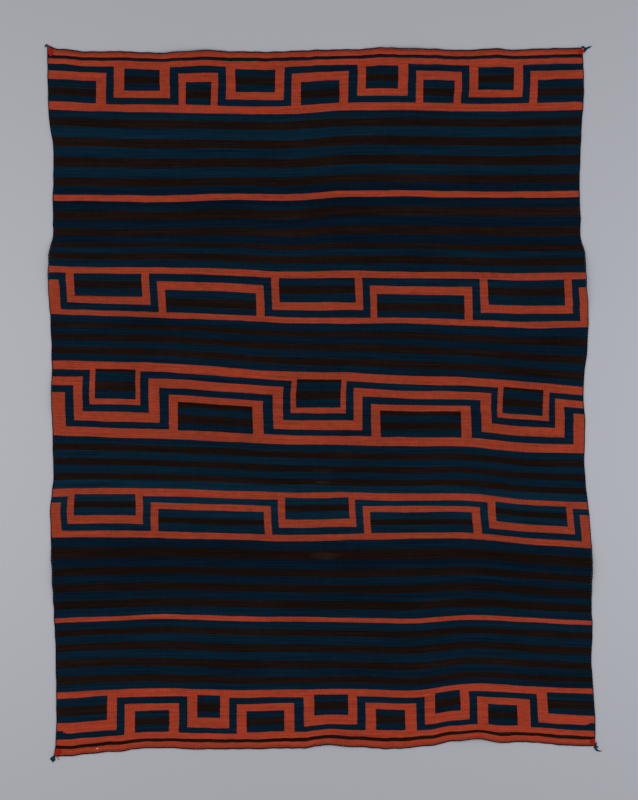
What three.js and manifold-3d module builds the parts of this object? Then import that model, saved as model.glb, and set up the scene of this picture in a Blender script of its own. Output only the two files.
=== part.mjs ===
// A woven wool serape laid flat, face up, seen with its first end at the top.
// Millimetres. X runs across the cloth with the weft, Y along it with the warp, Z up.
// The cloth rests on Z = 0. The origin is the middle of everything, tassels included.
import * as THREE from 'three';
import { mergeVertices } from 'three/addons/utils/BufferGeometryUtils.js';
import Module from 'manifold-3d';

const wasm = await Module();
wasm.setup();

// Main sizes
const LOOM_WIDTH = 1368;
const LOOM_LENGTH = 1757;
const CLOTH_THICK = 2.4;
const CELL = { across: 31, along: 41 };
const CORNER_CELLS = [7, 15, 25];
const END_CORD = 3;
const SIDE_CORD = 2.4;
const CORD_FACETS = 8;
const GAP = 0.3;
const EDGE_CORD_ROOM = SIDE_CORD + GAP;
const CLOTH_MIDDLE = { x: -8.3, y: 13.7 };
const CORNER_REACH = 28;
const WAVE_REACH = 160;
const BEAD_FACETS = 12;
const BEAD_STEPS = [-1, -0.92, -0.7, -0.35, 0, 0.35, 0.7, 0.92, 1];
const BEAD_OVERRUN = 0.4;
const BEAD_TIP = 0.12;
const STRAND_FACETS = 4;

// Where the two selvages lie, out from the cloth's middle line, at distances from the top end
const SIDES = [
  { along: 0, left: -688, right: 664 },
  { along: 74, left: -688, right: 665 },
  { along: 175, left: -685, right: 660 },
  { along: 251, left: -676, right: 658 },
  { along: 352, left: -673, right: 656 },
  { along: 479, left: -680, right: 663 },
  { along: 568, left: -688, right: 673 },
  { along: 681, left: -682, right: 676 },
  { along: 795, left: -678, right: 670 },
  { along: 884, left: -679, right: 665 },
  { along: 1010, left: -676, right: 668 },
  { along: 1137, left: -680, right: 673 },
  { along: 1238, left: -680, right: 683 },
  { along: 1327, left: -678, right: 688 },
  { along: 1440, left: -673, right: 686 },
  { along: 1542, left: -668, right: 686 },
  { along: 1643, left: -668, right: 691 },
  { along: 1757, left: -671, right: 696 },
];

// How far each line of weft has crept up the warps, at ten places from left to right
const WEFT_PLACES = [-684, -532, -380, -228, -76, 76, 228, 380, 532, 684];
const WEFT_LINES = [
  { line: 'top end', along: 0, creep: [2, -4, -4, -4, -3, 1, 4, -1, 1, 4] },
  { line: 'under band 1', along: 153, creep: [5, -1, -3, -6, -7, 2, 3, 0, 0, 4] },
  { line: 'upper fine line', along: 364, creep: [-8, -9, -10, -5, -7, 2, 3, 1, 0, 2] },
  { line: 'over band 2', along: 558, creep: [13, 10, 10, 6, -1, 1, -1, -2, -5, -3] },
  { line: 'under band 2', along: 691, creep: [24, 19, 14, 8, 1, 0, 0, -6, -11, -10] },
  { line: 'over band 3', along: 814, creep: [30, 27, 22, 11, 1, -1, -9, -13, -24, -38] },
  { line: 'under band 3', along: 998, creep: [25, 20, 15, 9, 2, 0, -3, -4, -18, -21] },
  { line: 'over band 4', along: 1118, creep: [9, 11, 9, 4, 0, 0, -3, -3, -18, -25] },
  { line: 'under band 4', along: 1239, creep: [8, 9, 6, 2, -2, 1, 4, 4, -9, -19] },
  { line: 'lower fine line', along: 1440, creep: [-3, 3, 8, 3, 1, -1, -3, 6, -1, -9] },
  { line: 'over band 5', along: 1613, creep: [-12, -4, -1, -5, -4, 0, -5, 10, 5, 0] },
  { line: 'bottom end', along: 1757, creep: [-22, -15, -4, -6, -5, -1, -4, 16, 10, 0] },
];

// How far each edge bulges out past those lines, at even steps from left to right or down the web
const EDGE_WAVES = {
  top: [0, 1, -1, 0.5, -1.5, -4, 0, 4.5, 0, -1, -2, 0, 0, 0.5, -1, 2, 0, 0, 0, 0.5, 3.5, 0.5, 0, 1.5, 0],
  bottom: [0, 2, 0, -2.5, -4.5, -0.5, 4, 2.5, 0.5, 1, -0.5, 0.5, -5.5, -1.5, 2.5, 2.5,
    -1, -1, -1, -2, 6.5, 1, 2, 2.5, 0],
  left: [0, 2, 1, 1, 0.5, 2, 4, 0, -1, 0.5, 2, 2.5, 1.5, 1.5, 0.5, 1,
    1, 0.5, -2.5, 2, 2, 2, 1, 0, 0, 0.5, 1.5, 0, -1.5, 0],
  right: [0, 2.5, 5, 4, 1.5, 2, 1, 1.5, 3, 2, 3, 4, 5, -2, 2, 5.5,
    4, 1.5, 5, 9, 6, 4, 1, 1, 4, 2, 2.5, 2.5, 4, 0],
};

// Soft cockles where the cloth stands a little off the surface
const COCKLES = [
  { across: 690, along: 575, halfWide: 150, halfLong: 110, high: 7 },
  { across: -700, along: 560, halfWide: 130, halfLong: 120, high: 5 },
  { across: -700, along: 900, halfWide: 110, halfLong: 90, high: 3.5 },
  { across: 700, along: 1290, halfWide: 140, halfLong: 110, high: 5 },
  { across: -690, along: 1330, halfWide: 120, halfLong: 90, high: 3.5 },
  { across: 385, along: 1790, halfWide: 110, halfLong: 120, high: 5 },
  { across: 20, along: 1790, halfWide: 130, halfLong: 90, high: 3.5 },
  { across: -330, along: -20, halfWide: 150, halfLong: 90, high: 4 },
  { across: 240, along: -20, halfWide: 130, halfLong: 80, high: 4 },
  { across: -180, along: 430, halfWide: 420, halfLong: 70, high: 3 },
  { across: 210, along: 770, halfWide: 360, halfLong: 60, high: 3 },
  { across: -240, along: 1180, halfWide: 380, halfLong: 60, high: 3 },
  { across: 160, along: 1500, halfWide: 400, halfLong: 70, high: 3 },
];

// The corners of the web, each drawn a little way by its cords
const CORNERS = [
  { side: -1, end: 0, pullX: -2, pullY: 9.5 },
  { side: 1, end: 0, pullX: 1, pullY: 1.5 },
  { side: -1, end: 1, pullX: -3.5, pullY: -4 },
  { side: 1, end: 1, pullX: -2, pullY: 1 },
];

// Red bindings wound over the face of each corner, from the cloth's middle point.
// Each turn is a bead between two ends; a loose thread end is a run of points with its own heights.
const WRAPS = {
  top_left_wrap: {
    beads: [{ from: [-684.6, 883], to: [-682.4, 867], halfWide: 4.6, high: 3.6 }],
    thread: [],
  },
  top_right_wrap: {
    beads: [{ from: [655.6, 875], to: [665.2, 873.4], halfWide: 5.6, high: 4.4 }],
    thread: [],
  },
  bottom_left_wrap: {
    beads: [
      { from: [-666.6, -890.6], to: [-667.4, -904.6], halfWide: 3.8, high: 4.2 },
      { from: [-657.4, -888.6], to: [-663.2, -903], halfWide: 3.8, high: 4 },
    ],
    thread: [
      { x: -665.6, y: -901, z: 4.8, wide: 1.8 },
      { x: -664.6, y: -909.6, z: 4.4, wide: 1.8 },
      { x: -662.4, y: -913.2, z: 1.2, wide: 1.6 },
      { x: -659.6, y: -916.6, z: 0.5, wide: 1 },
    ],
  },
  bottom_right_wrap: {
    beads: [{ from: [688.4, -863.4], to: [687, -875], halfWide: 4.4, high: 3.6 }],
    thread: [],
  },
};

// Cord ends past each corner, frayed into flat strands that lie on the surface
const TASSELS = {
  top_left_tassel: [
    [{ x: -688.3, y: 892.8, wide: 2.8 }, { x: -691.4, y: 892.6, wide: 4.4 },
      { x: -694.8, y: 890.8, wide: 3 }, { x: -698.2, y: 890, wide: 1 }],
    [{ x: -688.8, y: 892.8, wide: 2.6 }, { x: -692.4, y: 894.2, wide: 2.4 }, { x: -697, y: 893.4, wide: 0.8 }],
    [{ x: -690, y: 892.6, wide: 2.8 }, { x: -693.2, y: 889.4, wide: 2 }, { x: -695.6, y: 886.8, wide: 0.8 }],
  ],
  top_right_tassel: [
    [{ x: 663, y: 886.6, wide: 2.6 }, { x: 666, y: 887.4, wide: 5.2 },
      { x: 669, y: 885, wide: 3.4 }, { x: 671.4, y: 881, wide: 3.2 }],
    [{ x: 667.6, y: 874.2, wide: 2.4 }, { x: 670.4, y: 879.6, wide: 5 }, { x: 675, y: 884.6, wide: 4.6 },
      { x: 683.6, y: 889, wide: 2.8 }, { x: 688.6, y: 891.8, wide: 0.8 }],
    [{ x: 671, y: 880.6, wide: 3 }, { x: 678, y: 885, wide: 2.4 }, { x: 685.4, y: 887, wide: 0.8 }],
  ],
  bottom_left_tassel: [
    [{ x: -674, y: -906.4, wide: 3.4 }, { x: -676.4, y: -915, wide: 4 }, { x: -675.8, y: -922.8, wide: 1.4 }],
    [{ x: -674, y: -906.4, wide: 3 }, { x: -679.4, y: -914, wide: 3.2 }, { x: -676.6, y: -921.6, wide: 1.2 }],
    [{ x: -674, y: -906.4, wide: 3 }, { x: -682, y: -913.6, wide: 2.8 }, { x: -677.6, y: -920, wide: 1 }],
    [{ x: -674, y: -906.4, wide: 3 }, { x: -673.4, y: -914.6, wide: 3.2 }, { x: -675, y: -921.8, wide: 1.2 }],
    [{ x: -674, y: -906.4, wide: 3 }, { x: -670.8, y: -915, wide: 2.8 }, { x: -674, y: -920.4, wide: 1 }],
  ],
  bottom_right_tassel: [
    [{ x: 694.6, y: -880.2, wide: 3.4 }, { x: 695.8, y: -885.6, wide: 5 }, { x: 699.4, y: -890.4, wide: 4.2 },
      { x: 706, y: -893.6, wide: 3 }, { x: 715, y: -893.8, wide: 0.8 }],
    [{ x: 695, y: -882.6, wide: 3.4 }, { x: 700, y: -883.2, wide: 3.4 }, { x: 705.2, y: -882.2, wide: 1.2 }],
    [{ x: 695.4, y: -882, wide: 3 }, { x: 696.6, y: -876.8, wide: 3.4 }, { x: 698.8, y: -872.2, wide: 1.4 }],
  ],
};

// A smooth curve through the knots, level outside them
function through(knots, values, at) {
  const last = knots.length - 1;
  if (at <= knots[0]) return values[0];
  if (at >= knots[last]) return values[last];
  let i = 0;
  while (at > knots[i + 1]) i += 1;
  const slope = (k) => {
    const a = Math.max(k - 1, 0);
    const b = Math.min(k + 1, last);
    return (values[b] - values[a]) / (knots[b] - knots[a]);
  };
  const span = knots[i + 1] - knots[i];
  const t = (at - knots[i]) / span;
  const u = 1 - t;
  return u * u * (1 + 2 * t) * values[i] + t * t * (3 - 2 * t) * values[i + 1]
    + t * u * span * (u * slope(i) - t * slope(i + 1));
}

// Height of the underside of the cloth over the surface
function lift(across, along) {
  let high = 0;
  for (const c of COCKLES) {
    const r = Math.hypot((across - c.across) / c.halfWide, (along - c.along) / c.halfLong);
    if (r < 1) high += c.high * (0.5 + 0.5 * Math.cos(Math.PI * r));
  }
  return high;
}

// How far an edge bulges at a share of its length, dying away inwards
function bulge(edge, share, inside) {
  if (inside >= WAVE_REACH) return 0;
  const waves = EDGE_WAVES[edge];
  return through(waves.map((_, i) => i), waves, share * (waves.length - 1)) * (1 - inside / WAVE_REACH) ** 2;
}

const sideRows = SIDES.map((row) => row.along);
const leftSide = SIDES.map((row) => row.left + EDGE_CORD_ROOM);
const rightSide = SIDES.map((row) => row.right - EDGE_CORD_ROOM);
const weftRows = WEFT_LINES.map((row) => row.along);

// The place on the surface of a point of the web, given where it is on the loom:
// across from the middle warp, along from the top end
function clothPoint(across, along) {
  const left = through(sideRows, leftSide, along);
  const right = through(sideRows, rightSide, along);
  const creeps = WEFT_LINES.map((row) => through(WEFT_PLACES, row.creep, across));
  const [shareAcross, shareAlong] = [across / LOOM_WIDTH + 0.5, along / LOOM_LENGTH];
  let x = left + shareAcross * (right - left)
    + bulge('right', shareAlong, LOOM_WIDTH / 2 - across) - bulge('left', shareAlong, LOOM_WIDTH / 2 + across);
  let y = LOOM_LENGTH / 2 - along + through(weftRows, creeps, along)
    + bulge('top', shareAcross, along) - bulge('bottom', shareAcross, LOOM_LENGTH - along);
  for (const corner of CORNERS) {
    const fromSide = Math.abs(across - corner.side * LOOM_WIDTH / 2) / CORNER_REACH;
    const fromEnd = Math.abs(along - corner.end * LOOM_LENGTH) / CORNER_REACH;
    if (fromSide < 1 && fromEnd < 1) {
      const pull = (1 - fromSide) ** 2 * (1 - fromEnd) ** 2;
      x += corner.pullX * pull;
      y += corner.pullY * pull;
    }
  }
  return new THREE.Vector3(x, y, lift(across, along));
}

// Grid lines of the web from one edge to the other, closer together at the corners
function gridLines(from, to, cell) {
  const inner = to - from - 2 * CORNER_CELLS.at(-1);
  const count = Math.round(inner / cell);
  const lines = [from, ...CORNER_CELLS.map((step) => from + step)];
  for (let i = 1; i < count; i += 1) lines.push(from + CORNER_CELLS.at(-1) + inner * i / count);
  return [...lines, ...CORNER_CELLS.map((step) => to - step).reverse(), to];
}

const ACROSS = gridLines(-LOOM_WIDTH / 2, LOOM_WIDTH / 2, CELL.across);
const ALONG = gridLines(0, LOOM_LENGTH, CELL.along);

// A closed solid from its points and its triangles
function solid(points, faces) {
  const geometry = new THREE.BufferGeometry();
  geometry.setAttribute('position', new THREE.Float32BufferAttribute(points.flatMap((p) => [p.x, p.y, p.z]), 3));
  geometry.setIndex(faces.flat());
  return geometry;
}

// The web: one sheet, its face and back on the same grid, closed round its four edges
function wovenCloth() {
  const wide = ACROSS.length;
  const grid = ALONG.flatMap((along) => ACROSS.map((across) => clothPoint(across, along)));
  const face = grid.map((p) => p.clone().setZ(p.z + CLOTH_THICK));
  const under = grid.length;
  const faces = [];
  for (let row = 0; row + 1 < ALONG.length; row += 1) {
    for (let col = 0; col + 1 < wide; col += 1) {
      const a = row * wide + col;
      const [b, c, d] = [a + 1, a + wide, a + wide + 1];
      faces.push([a, c, b], [b, c, d], [under + a, under + b, under + c], [under + b, under + d, under + c]);
    }
  }
  const last = (ALONG.length - 1) * wide;
  const wall = (a, b) => faces.push([a, b, under + a], [b, under + b, under + a]);
  for (let col = 0; col + 1 < wide; col += 1) {
    wall(col, col + 1);
    wall(last + col + 1, last + col);
  }
  for (let row = 0; row + 1 < ALONG.length; row += 1) {
    wall((row + 1) * wide, row * wide);
    wall(row * wide + wide - 1, (row + 1) * wide + wide - 1);
  }
  return solid([...face, ...grid], faces);
}

// A solid swept along stations, each with its middle, width and height; level rings, closed ends
function sweep(stations, facets) {
  const points = [];
  stations.forEach((s, i) => {
    const before = stations[Math.max(i - 1, 0)].at;
    const after = stations[Math.min(i + 1, stations.length - 1)].at;
    const run = new THREE.Vector2(after.x - before.x, after.y - before.y).normalize();
    for (let k = 0; k < facets; k += 1) {
      const turn = 2 * Math.PI * k / facets;
      const out = Math.cos(turn) * s.wide / 2;
      points.push(new THREE.Vector3(s.at.x - run.y * out, s.at.y + run.x * out,
        s.at.z + Math.sin(turn) * s.high / 2));
    }
  });
  const faces = [];
  const first = points.length;
  const end = points.length - facets;
  for (let i = 0; i + 1 < stations.length; i += 1) {
    for (let k = 0; k < facets; k += 1) {
      const next = (k + 1) % facets;
      const [a, b] = [i * facets + k, i * facets + next];
      faces.push([a, b, a + facets], [b, b + facets, a + facets]);
    }
  }
  points.push(stations[0].at, stations.at(-1).at);
  for (let k = 0; k < facets; k += 1) {
    const next = (k + 1) % facets;
    faces.push([first, next, k], [first + 1, end + k, end + next]);
  }
  return solid(points, faces);
}

// A cord laid against an edge of the web, a hair clear of it; outward is to the right of its run
function edgeCord(edge, size) {
  const stations = edge.map((p, i) => {
    const before = edge[Math.max(i - 1, 0)];
    const after = edge[Math.min(i + 1, edge.length - 1)];
    const toward = new THREE.Vector2(p.x - before.x, p.y - before.y).normalize();
    const away = new THREE.Vector2(after.x - p.x, after.y - p.y).normalize();
    const run = toward.clone().add(away).normalize();
    const lean = Math.max(run.dot(away), run.dot(toward));
    const off = (size / 2 + GAP) / lean;
    return {
      at: new THREE.Vector3(p.x + run.y * off, p.y - run.x * off, p.z + size / 2),
      wide: size,
      high: size,
    };
  });
  return sweep(stations, CORD_FACETS);
}

const topEdge = () => ACROSS.map((across) => clothPoint(across, 0)).reverse();
const bottomEdge = () => ACROSS.map((across) => clothPoint(across, LOOM_LENGTH));
const leftEdge = () => ALONG.map((along) => clothPoint(-LOOM_WIDTH / 2, along));
const rightEdge = () => ALONG.map((along) => clothPoint(LOOM_WIDTH / 2, along)).reverse();

// One turn of binding yarn, rounded at both ends, resting on the face of the cloth
function bead({ from, to, halfWide, high }) {
  const middle = new THREE.Vector2((from[0] + to[0]) / 2, (from[1] + to[1]) / 2);
  const half = new THREE.Vector2((to[0] - from[0]) / 2, (to[1] - from[1]) / 2);
  const run = half.clone().normalize().multiplyScalar(half.length() + halfWide * BEAD_OVERRUN);
  const stations = BEAD_STEPS.map((t) => {
    const round = Math.max(Math.sqrt(1 - t * t), BEAD_TIP);
    return {
      at: new THREE.Vector3(middle.x + run.x * t, middle.y + run.y * t, CLOTH_THICK + GAP + high / 2),
      wide: 2 * halfWide * round,
      high: high * round,
    };
  });
  return sweep(stations, BEAD_FACETS);
}

// A strand of cord end lying level on the surface, or a thread end that comes down to it
function strand(points) {
  return sweep(points.map((p) => ({
    at: new THREE.Vector3(p.x, p.y, p.z ?? p.wide / 2),
    wide: p.wide,
    high: p.wide,
  })), STRAND_FACETS);
}

// Strands or turns fused into one solid
function joined(geometries) {
  const solids = geometries.map((geometry) => {
    const merged = mergeVertices(geometry);
    return new wasm.Manifold(new wasm.Mesh({
      numProp: 3,
      vertProperties: merged.attributes.position.array,
      triVerts: new Uint32Array(merged.index.array),
    }));
  });
  const mesh = wasm.Manifold.union(solids).getMesh();
  const geometry = new THREE.BufferGeometry();
  geometry.setAttribute('position', new THREE.BufferAttribute(mesh.vertProperties, 3));
  geometry.setIndex(new THREE.BufferAttribute(mesh.triVerts, 1));
  return geometry;
}

const COLOURS = {
  woven: { color: 0x2b1d22, roughness: 0.95 },
  edging: { color: 0x101622, roughness: 0.9 },
  binding: { color: 0x9c2417, roughness: 0.85 },
  tassel: { color: 0x12303c, roughness: 0.9 },
};

const serape = new THREE.Group();
serape.name = 'serape';

function add(name, geometry, look) {
  const mesh = new THREE.Mesh(geometry, new THREE.MeshStandardMaterial({ ...COLOURS[look], metalness: 0 }));
  mesh.name = name;
  mesh.geometry.translate(CLOTH_MIDDLE.x, CLOTH_MIDDLE.y, 0);
  mesh.geometry.computeVertexNormals();
  serape.add(mesh);
}

add('woven_cloth', wovenCloth(), 'woven');
add('top_end_cord', edgeCord(topEdge(), END_CORD), 'edging');
add('bottom_end_cord', edgeCord(bottomEdge(), END_CORD), 'edging');
add('left_side_cord', edgeCord(leftEdge(), SIDE_CORD), 'edging');
add('right_side_cord', edgeCord(rightEdge(), SIDE_CORD), 'edging');
for (const [name, { beads, thread }] of Object.entries(WRAPS)) {
  const turns = beads.map(bead);
  if (thread.length) turns.push(strand(thread));
  add(name, turns.length > 1 ? joined(turns) : turns[0], 'binding');
}
for (const [name, strands] of Object.entries(TASSELS)) add(name, joined(strands.map(strand)), 'tassel');

export default serape;
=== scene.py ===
"""A handwoven wool serape lying flat on a pale floor, seen from straight above.

Sizes are written in millimetres in the tables and turned into metres on the mesh.
"""

import math
from functools import lru_cache

import bmesh
import bpy
from mathutils import Matrix, Vector, noise


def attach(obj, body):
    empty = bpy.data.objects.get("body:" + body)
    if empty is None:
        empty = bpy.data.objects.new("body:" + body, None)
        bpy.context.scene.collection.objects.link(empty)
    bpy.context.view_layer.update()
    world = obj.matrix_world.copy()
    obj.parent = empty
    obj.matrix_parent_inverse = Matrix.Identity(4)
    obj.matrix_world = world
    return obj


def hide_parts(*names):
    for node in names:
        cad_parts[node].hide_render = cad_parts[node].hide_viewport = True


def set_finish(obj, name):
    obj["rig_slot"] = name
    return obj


bl_info = {
    "name": "Handwoven serape",
    "version": (1, 0, 0),
    "blender": (4, 5, 0),
    "location": "3D View > Sidebar > Serape",
    "description": "Dresses the flat solids of a striped wool serape with yarn, weave and dye",
    "category": "Object",
}

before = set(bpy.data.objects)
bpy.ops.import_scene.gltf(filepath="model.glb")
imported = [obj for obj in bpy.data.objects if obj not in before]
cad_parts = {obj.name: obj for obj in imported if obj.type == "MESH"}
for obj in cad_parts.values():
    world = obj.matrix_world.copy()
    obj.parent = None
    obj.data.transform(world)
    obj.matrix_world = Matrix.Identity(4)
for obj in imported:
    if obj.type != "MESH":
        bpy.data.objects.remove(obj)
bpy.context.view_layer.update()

MM = 0.001
LOOM_WIDTH = 1368
LOOM_LENGTH = 1757
CLOTH_THICK = 2.4
END_CORD = 3.4
SIDE_CORD = 2.8
GAP = 0.3
EDGE_CORD_ROOM = 2.7
CLOTH_MIDDLE = Vector((-8.3, 13.7))
WARP_PITCH = 5.3
PICK_PITCH = 1.7
# Metres of loom to a whole step of the loom map
MAP_METRES = 2
# How far inwards a pull at a corner and a wave of an edge die away
CORNER_REACH = 28
WAVE_REACH = 160
# Fine scallop of the edges: height, beats along an edge, and how soon it is full past a corner
SCALLOP_HIGH = 1.7
SCALLOP_BEATS = 62
SCALLOP_RISE = 40
# Small unevenness of the face: height, and how far from the edges it is full
RUFFLE_HIGH = 0.55
RUFFLE_REACH = 60
# Steps along each edge that a cord follows, and along each frayed yarn
EDGE_STEPS = 240
YARN_STEPS = 14

# Selvages: distance from the top end, then the left and the right edge from the middle line
SIDES = (
    (0, -688, 664),
    (74, -688, 665),
    (175, -685, 660),
    (251, -676, 658),
    (352, -673, 656),
    (479, -680, 663),
    (568, -688, 673),
    (681, -682, 676),
    (795, -678, 670),
    (884, -679, 665),
    (1010, -676, 668),
    (1137, -680, 673),
    (1238, -680, 683),
    (1327, -678, 688),
    (1440, -673, 686),
    (1542, -668, 686),
    (1643, -668, 691),
    (1757, -671, 696),
)

# Weft lines: distance from the top end, then how far the line has crept up at ten places across
WEFT_PLACES = (-684, -532, -380, -228, -76, 76, 228, 380, 532, 684)
WEFT_LINES = (
    (0, (2, -4, -4, -4, -3, 1, 4, -1, 1, 4)),
    (153, (5, -1, -3, -6, -7, 2, 3, 0, 0, 4)),
    (364, (-8, -9, -10, -5, -7, 2, 3, 1, 0, 2)),
    (430, (-6, -7.5, -7, -4, -6.5, 3, 3.5, 1.5, 0.5, 2)),
    (495, (5, 3, 4.5, 3.5, -2.5, 3, 1.5, -1, -4, -2)),
    (530, (11, 8.5, 9.5, 6, -1.5, 1, 0, -4, -6, -4)),
    (558, (13, 10, 10, 6, -1, 1, -1, -2, -5, -3)),
    (691, (24, 19, 14, 8, 1, 0, 0, -6, -11, -10)),
    (716, (26, 21.5, 16.5, 9, 1, 0, -2, -9.5, -17.5, -19.5)),
    (750, (29, 25.5, 20.5, 11.5, 2.5, -0.5, -5.5, -12.5, -23.5, -32)),
    (814, (30, 27, 22, 11, 1, -1, -9, -13, -24, -38)),
    (902, (26, 22.5, 18.5, 9.5, 1, 0, -6, -7.5, -17, -28)),
    (946, (26, 21, 18, 9.5, 1, 0, -1.5, -2.5, -15, -21.5)),
    (998, (25, 20, 15, 9, 2, 0, -3, -4, -18, -21)),
    (1055, (20, 18, 13.5, 7, 0, -2, -4, -3.5, -18, -22.5)),
    (1118, (9, 11, 9, 4, 0, 0, -3, -3, -18, -25)),
    (1239, (8, 9, 6, 2, -2, 1, 4, 4, -9, -19)),
    (1275, (4, 6, 7, 3.5, -0.5, 1, 2.5, 3.5, -9, -19.5)),
    (1320, (2, 6, 8, 3.5, 0.5, -0.5, 1.5, 5, -6, -16)),
    (1440, (-3, 3, 8, 3, 1, -1, -3, 6, -1, -9)),
    (1530, (-1, 5.5, 5.5, -0.5, -1.5, -2.5, -6, 7.5, -1, -8)),
    (1590, (-5.5, 1, 1, -4, -3.5, -2.5, -6, 10, 3, -3)),
    (1613, (-12, -3.5, -1, -5, -3.5, -2.5, -5.5, 11.5, 4, -1.5)),
    (1705, (-21, -13, -4, -7, -3, 2.5, -0.5, 15, 8.5, -1)),
    (1757, (-22, -15, -4, -6, -5, -1, -4, 16, 10, 0)),
)

# How far each edge bulges out past those lines, at even steps from left to right or down the web
EDGE_WAVES = {
    "top": (0, 1, -1, 0.5, -1.5, -4, 0, 4.5, 0, -1, -2, 0, 0, 0.5, -1, 2)
    + (0, 0, 0, 0.5, 3.5, 0.5, 0, 1.5, 0),
    "bottom": (0, 4, 0, -2.5, -4.5, -0.5, 4, 2.5, 0.5, 1, -0.5, 0.5, -5.5, -1.5, 2.5, 2.5)
    + (-1, -1, -1, -2, 6.5, 1, 2, 2.5, 0),
    "left": (0, 2, 1, 1, 0.5, 2, 4, 0, -1, 0.5, 2, 2.5, 1.5, 1.5, 0.5, 1)
    + (1, 0.5, -2.5, 2, 2, 2, 1, 0, 0, 0.5, 1.5, 0, -1.5, 0),
    "right": (0, 2.5, 5, 4, 1.5, 2, 1, 1.5, 3, 2, 3, 4, 5, -2, 2, 5.5)
    + (4, 1.5, 5, 9, 6, 4, 1, 1, 4, 2, 2.5, 2.5, 4, 0),
}

# Short pulls and swells of each edge: share of its length, half length as a share, how far out
EDGE_PULLS = {
    "top": (
        (0.06, 0.03, -2.5), (0.217, 0.025, -1.6), (0.273, 0.035, -2), (0.665, 0.025, -1.5),
        (0.733, 0.025, 1.2), (0.867, 0.025, -2),
    ),
    "bottom": (
        (0.02, 0.03, 2.5), (0.052, 0.025, -3), (0.092, 0.02, -2), (0.114, 0.025, 2),
        (0.535, 0.025, 1.5), (0.734, 0.03, -2.5), (0.812, 0.03, 1.2), (0.845, 0.025, -1.4),
    ),
    "left": (
        (0.013, 0.02, 2), (0.14, 0.05, -1.5), (0.225, 0.05, -1), (0.266, 0.022, -2.8),
        (0.291, 0.022, 2.8), (0.635, 0.04, -1.5),
    ),
    "right": (
        (0.266, 0.026, -5), (0.291, 0.022, 2.2), (0.34, 0.05, -1.8), (0.405, 0.03, -3),
        (0.474, 0.03, -1.2), (0.658, 0.03, -1.5),
    ),
}

# Cockles: across, along, half width, half length, height
COCKLES = (
    (690, 575, 150, 110, 7),
    (-700, 560, 130, 120, 5),
    (-700, 900, 110, 90, 3.5),
    (700, 1290, 140, 110, 5),
    (-690, 1330, 120, 90, 3.5),
    (385, 1790, 110, 120, 5),
    (20, 1790, 130, 90, 3.5),
    (-330, -20, 150, 90, 4),
    (240, -20, 130, 80, 4),
    (-180, 430, 420, 70, 3),
    (210, 770, 360, 60, 3),
    (-240, 1180, 380, 60, 3),
    (160, 1500, 400, 70, 3),
)

# Corners of the web: side, end, and how far the cords draw it across and up
CORNERS = ((-1, 0, -2, 9.5), (1, 0, 1, 1.5), (-1, 1, -3.5, -4), (1, 1, 0.5, 1))

# Ground stripes of undyed brown between the indigo, from and to along the web
BROWN_STRIPES = (
    (13.2, 17.5),
    (172.3, 193),
    (218.7, 241),
    (265.5, 289.5),
    (314.5, 335),
    (396, 420.5),
    (444.5, 467),
    (488, 502),
    (519, 538.5),
    (710, 724.5),
    (742, 759),
    (777.5, 795.5),
    (1015, 1031.5),
    (1049.5, 1064.5),
    (1082.5, 1098),
    (1262.5, 1288.5),
    (1312, 1331),
    (1351.5, 1371.5),
    (1392, 1412),
    (1464, 1480.5),
    (1501, 1520),
    (1541, 1560),
    (1579.5, 1597),
    (1734.3, 1742.8),
)

# Orange rows: the five bands and the two fine lines, with the dark lines near the ends left out
ORANGE_ROWS = (
    (-20, 13.2),
    (21.8, 153),
    (356.5, 372),
    (558, 690),
    (813.5, 997.5),
    (1117.5, 1239),
    (1433.5, 1445),
    (1612.5, 1734.3),
    (1742.8, 1780),
)

# Dye lots of the indigo: distance from the top end, and how pale and green the yarn is there
DYE_LOTS = (
    (0, 0.36),
    (150, 0.45),
    (207, 0.86),
    (250, 0.57),
    (303, 0.68),
    (340, 0.1),
    (485, 0.07),
    (509, 0.5),
    (600, 0.43),
    (690, 0.35),
    (731, 0.1),
    (767, 0.32),
    (950, 0.32),
    (1006, 0.39),
    (1039, 0.6),
    (1074, 0.32),
    (1105, 0.93),
    (1180, 0.71),
    (1245, 0.25),
    (1298, 0.07),
    (1340, 0.25),
    (1390, 0.25),
    (1420, 0.46),
    (1488, 0.39),
    (1530, 0.5),
    (1570, 0.32),
    (1603, 0.43),
    (1757, 0.43),
)

# Lots of the undyed brown: distance from the top end, and how pale the wool is there
BROWN_LOTS = (
    (0, 0.4),
    (340, 0.42),
    (400, 0.53),
    (530, 0.51),
    (600, 0.4),
    (980, 0.35),
    (1060, 0.19),
    (1120, 0.23),
    (1250, 0.16),
    (1400, 0.18),
    (1470, 0.36),
    (1640, 0.5),
    (1757, 0.55),
)

# Dye lots of the orange-red: distance from the top end, and how pale the yarn is there
ORANGE_LOTS = (
    (0, 0.85),
    (153, 0.75),
    (364, 0.6),
    (558, 0.45),
    (690, 0.4),
    (813, 0.45),
    (998, 0.4),
    (1117, 0.4),
    (1239, 0.35),
    (1440, 0.65),
    (1612, 0.85),
    (1734, 1.0),
    (1757, 1.0),
)

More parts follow.
